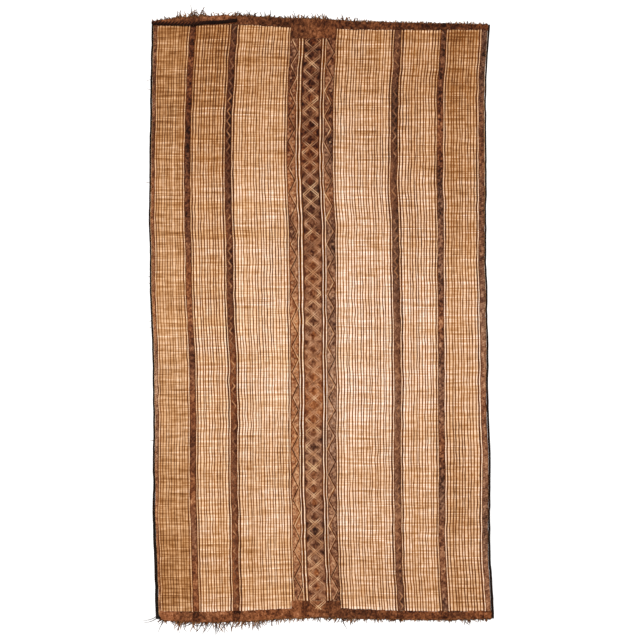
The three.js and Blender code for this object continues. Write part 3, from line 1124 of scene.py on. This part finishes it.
@dataclass
class Wisps:
    """Curved, tapered ends of leather that lie on the floor: a three-sided strip along each arc."""

    root: Array
    heading: Array
    length: Array
    bend: Array
    width: Array
    rise: Array
    tone: Array
    low: float = 0.3 * MM

    def surface(self, rows: int = 6) -> Surface:
        """Step along each arc, with the heading turning evenly, and taper the section to its tip.

        Args:
            rows: Rows along a wisp.

        Returns:
            The strips, closed round their sections.
        """
        t = np.linspace(0, 1, rows)
        heading = self.heading[:, None] + self.bend[:, None] * t
        step = self.length[:, None] / (rows - 1)
        ahead = np.stack([np.sin(heading), np.cos(heading)], -1)
        moves = step[..., None] * (ahead[:, :-1] + ahead[:, 1:]) / 2
        start = np.zeros((len(self.length), 1, 2))
        path = self.root[:, None, :2] + np.concatenate([start, np.cumsum(moves, axis=1)], axis=1)
        side = np.stack([ahead[..., 1], -ahead[..., 0]], -1)
        half = self.width[:, None] / 2 * (1 - 0.6 * t ** 2)
        fall = 1 - smooth_step(t / 0.7)
        floor = self.low + (self.root[:, None, 2] - self.low) * fall + self.rise[:, None] * np.sin(np.pi * t)
        left = np.concatenate([path - side * half[..., None], floor[..., None]], -1)
        right = np.concatenate([path + side * half[..., None], floor[..., None]], -1)
        ridge = np.concatenate([path, (floor + 0.7 * half)[..., None]], -1)
        points = np.stack([left, right, ridge], axis=2)
        tone = np.repeat((self.tone[:, None] + 0.12 * t)[:, :, None], 3, axis=2)
        return Surface(points, tone, np.full_like(tone, 0.3), closed=True)


@dataclass
class Fringe:
    """Frayed leather past one end: a ragged felted edge, distinct strands, and a few long loose hairs."""

    plan: MatPlan
    line: EndLine
    felt: float
    reach: tuple[tuple[float, float], ...]
    hairs: tuple[float, ...]
    hair_reach: tuple[float, float]
    count: int = 560
    seed: int = 161
    lean: float = 0.0
    under: float = 5 * MM
    edge_top: float = 4.2 * MM
    edge_fall: float = 3.8 * MM

    @property
    def node(self) -> str:
        """The CAD node that this fringe replaces."""
        return f"fringe_{self.line.end.word}"

    def edge(self) -> bpy.types.Object:
        """The felted edge: rows from under the strip to a jagged rim, lower towards the floor.

        Returns:
            The placed edge.
        """
        sign = self.line.end.value
        across = np.arange(self.line.outer[0][0], self.line.outer[0][-1], 3 * MM)
        teeth = lattice_noise(across, np.zeros(1), (0.006, 1), self.seed)
        waves = lattice_noise(across, np.zeros(1), (0.03, 1), self.seed + 1)
        reach = self.felt * (0.2 + 0.9 * teeth + 0.7 * waves)
        share = np.linspace(0, 1, 6)[:, None]
        along = self.line.outer_at(across) + sign * (-self.under + share * (self.under + reach))
        wide = np.broadcast_to(across, along.shape)
        lumps = 1.0 * MM * (lattice_noise(wide, along, (0.007, 0.006), self.seed + 2) - 0.5)
        height = np.clip(self.edge_top - self.edge_fall * share + lumps, 0.2 * MM, None)
        tone, warm = hide_tones(self.plan, self.line.end, wide, along)
        tone = tone - 0.12 * share
        points = np.stack([wide, along, height], -1)
        if sign < 0:
            points, tone, warm = points[::-1], tone[::-1], warm[::-1]
        name = f"{self.node}_edge"
        made = Surface(points[None], tone[None], warm[None]).make(name)
        return place(made, HIDE, "fringe_leather", self.node)

    def wisps(self) -> bpy.types.Object:
        """Strands as long as the reach at their place, each leaning its own way, and the loose hairs.

        Returns:
            The placed strands and hairs, as one piece.
        """
        sign = self.line.end.value
        random = np.random.default_rng(self.seed + 9)
        start, stop = self.line.outer[0][0], self.line.outer[0][-1]
        places, lengths = np.array(self.reach).T
        hair_at = np.array(self.hairs) + random.normal(0, 4 * MM, len(self.hairs))
        across = np.concatenate([random.uniform(start, stop, self.count), hair_at])
        total = len(across)
        loose = np.arange(total) >= self.count
        length = np.interp(across, places, lengths) * random.uniform(0, 1, total) ** 1.6 + 6 * MM
        length = np.where(loose, random.uniform(*self.hair_reach, total), length)
        drift = lattice_noise(across, np.zeros(1), (0.05, 1), self.seed + 5) - 0.5
        lean = random.normal(self.lean, 0.4, total) + 1.0 * drift
        heading = lean if sign > 0 else np.pi - lean
        root = np.stack([across, self.line.outer_at(across) - sign * random.uniform(0, 4 * MM, total),
                         np.full(total, 3.6 * MM)], -1)
        width = np.where(loose, random.uniform(2.8, 3.8, total), random.uniform(3.0, 4.8, total)) * MM
        bend = random.normal(0, 0.9, total)
        tone = np.where(loose, 0.1, random.uniform(0.2, 1.0, total))
        made = Wisps(root, heading, length, bend, width, random.uniform(0, 2.5, total) * MM, tone)
        return place(made.surface().make(self.node), FRAY, "fringe_leather", self.node)

    def build(self) -> list[bpy.types.Object]:
        """Make and place the edge and the wisps."""
        return [self.edge(), self.wisps()]


@dataclass
class StrayEnds:
    """A few thin ends of thong that stick out past the left binding, with lengths in millimetres."""

    edges: LongEdges
    places: tuple[float, ...] = (1.27, 1.255, 1.20, 0.23, 0.19, 0.0, -0.03, 0.72, -0.62, -1.535, -1.545)
    lengths: tuple[float, ...] = (30, 34, 24, 20, 26, 18, 22, 24, 20, 80, 74)
    long_from: float = 50 * MM

    def build(self) -> bpy.types.Object:
        """Thin wisps from the binding's outer edge.

        Returns:
            The placed wisps, as one piece.
        """
        random = np.random.default_rng(171)
        along = np.array(self.places)
        count = len(along)
        root = np.stack([self.edges.left_at(along) + 3 * MM, along, np.full(count, 2.0 * MM)], -1)
        length = np.array(self.lengths) * MM
        far = length > self.long_from
        lean = np.where(far, np.linspace(-0.3, -0.7, count), random.normal(0, 0.6, count))
        bend = np.where(far, 0.8, random.normal(0, 1.0, count))
        width = np.where(far, 3.0, random.uniform(1.4, 2.0, count)) * MM
        made = Wisps(root, -np.pi / 2 + lean, length, bend, width, random.uniform(0, 2, count) * MM,
                     np.where(far, 0.1, random.uniform(0.2, 0.6, count)))
        return place(made.surface(8).make("stray_thong_ends"), FRAY, "fringe_leather")


@dataclass
class Studio:
    """Plain pale floor, soft light and a camera straight above."""

    aim: tuple[float, float] = (-9.5 * MM, 5.4 * MM)
    frame_width: float = 640 * 5.2 * MM
    lens: float = 100.0
    sensor: float = 36.0
    floor_size: float = 60.0
    fill: float = 0.80
    key: float = 2.70
    softness: float = 25.0
    sun: tuple[float, float] = (-22.0, -32.0)

    def build(self) -> None:
        """Make the floor, the lights and the camera."""
        scene = bpy.context.scene
        scene.view_settings.view_transform = "Standard"
        corners = np.array([[-1, -1], [1, -1], [1, 1], [-1, 1]]) * self.floor_size / 2
        mesh = bpy.data.meshes.new("floor")
        mesh.from_pydata([(x, y, -0.2 * MM) for x, y in corners.tolist()], [], [(0, 1, 2, 3)])
        floor = bpy.data.objects.new("floor", mesh)
        scene.collection.objects.link(floor)
        paint = bpy.data.materials.new("pale_floor")
        paint.use_nodes = True
        paint.node_tree.nodes["Principled BSDF"].inputs["Base Color"].default_value = linear_colour("#f4f3f2")
        paint.node_tree.nodes["Principled BSDF"].inputs["Roughness"].default_value = 0.9
        mesh.materials.append(paint)

        world = bpy.data.worlds.new("soft_room")
        world.use_nodes = True
        sky = world.node_tree.nodes["Background"]
        sky.inputs["Color"].default_value = (1, 1, 1, 1)
        sky.inputs["Strength"].default_value = self.fill
        scene.world = world

        lamp = bpy.data.lights.new("key", "SUN")
        lamp.energy = self.key
        lamp.angle = math.radians(self.softness)
        key = bpy.data.objects.new("key", lamp)
        key.rotation_euler = (math.radians(self.sun[0]), math.radians(self.sun[1]), 0)
        scene.collection.objects.link(key)

        view = bpy.data.cameras.new("camera")
        view.lens = self.lens
        view.sensor_width = self.sensor
        view.clip_end = 200
        camera = bpy.data.objects.new("camera", view)
        camera.location = (*self.aim, self.frame_width * self.lens / self.sensor)
        scene.collection.objects.link(camera)
        scene.camera = camera


def main() -> None:
    logging.basicConfig(level=logging.INFO, format="%(message)s")
    Studio().build()
    plan = MatPlan()
    rows = ReedRows()
    pieces: list[bpy.types.Object] = []

    panels = (
        ReedPanel(plan, rows, 0, 12, "outer_left", -0.19, 0.50, 3.4 * MM, (5.0 * MM, 6.4 * MM), valley_shade=0.22,
                  fade=0.04, rim=0.13),
        ReedPanel(plan, rows, 1, 13, "middle_left", -0.03, 0.52, beside=(7.2 * MM, 8.6 * MM), fade=-0.035),
        ReedPanel(plan, rows, 2, 20, "inner_left", 0.0, 0.42, 4.8 * MM, (8.6 * MM, 7.2 * MM)),
        ReedPanel(plan, rows, 3, 2, "pair_left", -0.02, 0.20, 12 * MM, (12 * MM, 12 * MM),
                  edge_lace=12 * MM, rim=0.06),
        ReedPanel(plan, rows, 4, 2, "pair_right", -0.01, 0.10, 12 * MM, (12 * MM, 12 * MM),
                  edge_lace=11 * MM, rim=0.06),
        ReedPanel(plan, rows, 5, 21, "inner_right", 0.0, 0.05, 5.0 * MM, (7.2 * MM, 8.6 * MM)),
        ReedPanel(plan, rows, 6, 14, "middle_right", -0.03, 0.08, beside=(8.6 * MM, 7.2 * MM)),
        ReedPanel(plan, rows, 7, 13, "outer_right", -0.10, 0.18, beside=(7.2 * MM, 8.6 * MM), fade=-0.02,
                  rim=0.15),
    )
    for panel in panels:
        pieces += panel.build()

    bands = (
        LeatherBand(plan, 0, Motif.BORDER, "border_leather", 60 * MM, 6, base=0.56, rust=0.4),
        LeatherBand(plan, 1, Motif.PLAIN, "plain_leather", 135 * MM, 9, base=0.36, rust=0.65),
        LeatherBand(plan, 2, Motif.WAVE, "chain_leather", 52 * MM, 12, base=0.30, rust=0.55, flecks=0.15),
        LeatherBand(plan, 3, Motif.TRIANGLES, "patterned_leather", 133 * MM, 16, 4.5 * MM,
                    base=0.635, rust=0.6, flecks=0.65),
        LeatherBand(plan, 4, Motif.LOZENGES, "patterned_leather", 72.6 * MM, 28, 4 * MM, 0.515,
                    base=0.46, rust=0.5, run_on=48 * MM),
        LeatherBand(plan, 5, Motif.TRIANGLES, "patterned_leather", 133 * MM, 16, 4.5 * MM, facing=-1,
                    base=0.60, rust=0.2, flecks=0.6),
        LeatherBand(plan, 6, Motif.WAVE, "chain_leather", 52 * MM, 12, base=0.42, rust=0.15, flecks=0.3),
        LeatherBand(plan, 7, Motif.PLAIN, "plain_leather", 135 * MM, 9, base=0.38, rust=0.3, flecks=0.7),
        LeatherBand(plan, 8, Motif.BORDER, "border_leather", 60 * MM, 9, base=0.50, rust=0.15),
    )
    for band in bands:
        pieces += band.build()

    pieces.append(SideBinding(plan.left_side, "binding_left", knot=12 * MM).build())
    pieces.append(SideBinding(plan.right_side, "binding_right").build())
    pieces.append(EndStrip(plan, plan.top).build())
    pieces.append(EndStrip(plan, plan.foot).build())
    pieces.append(TwistedCord().build())
    pieces += Fringe(plan, plan.top, 4 * MM, (
        (-0.86, 0.014), (-0.76, 0.026), (-0.70, 0.060), (-0.66, 0.072), (-0.61, 0.050), (-0.55, 0.032),
        (-0.45, 0.036), (-0.40, 0.034), (-0.30, 0.026), (-0.20, 0.020), (-0.10, 0.030), (-0.03, 0.042),
        (0.03, 0.030), (0.10, 0.042), (0.16, 0.022), (0.25, 0.014), (0.60, 0.012), (0.75, 0.018),
        (0.86, 0.012)),
        (-0.74, -0.68, -0.66, -0.65, -0.63, -0.43, -0.37, -0.36, -0.30, -0.26, -0.14, -0.09, -0.04, 0.0,
         0.13), (0.024, 0.052)).build()
    pieces += Fringe(plan, plan.foot, 5 * MM, (
        (-0.87, 0.030), (-0.80, 0.045), (-0.72, 0.060), (-0.60, 0.070), (-0.50, 0.068), (-0.42, 0.055),
        (-0.32, 0.055), (-0.24, 0.036), (-0.15, 0.030), (-0.05, 0.024), (0.05, 0.034), (0.12, 0.040),
        (0.20, 0.026), (0.30, 0.022), (0.42, 0.018), (0.62, 0.016), (0.72, 0.026), (0.77, 0.040),
        (0.82, 0.020), (0.88, 0.014)),
        (-0.82, -0.81, -0.74, -0.72, -0.66, -0.64, -0.62, -0.60, -0.58, -0.55, -0.52, -0.48, -0.33, -0.30,
         -0.24, 0.11, 0.13, 0.15, 0.74, 0.77), (0.045, 0.080), 640, 181, -0.35).build()
    pieces.append(StrayEnds(plan.left_side).build())

    ground = ReedGround(plan).build()

    log.info("%d pieces and the underside", len(pieces))


if __name__ == "__main__":
    main()
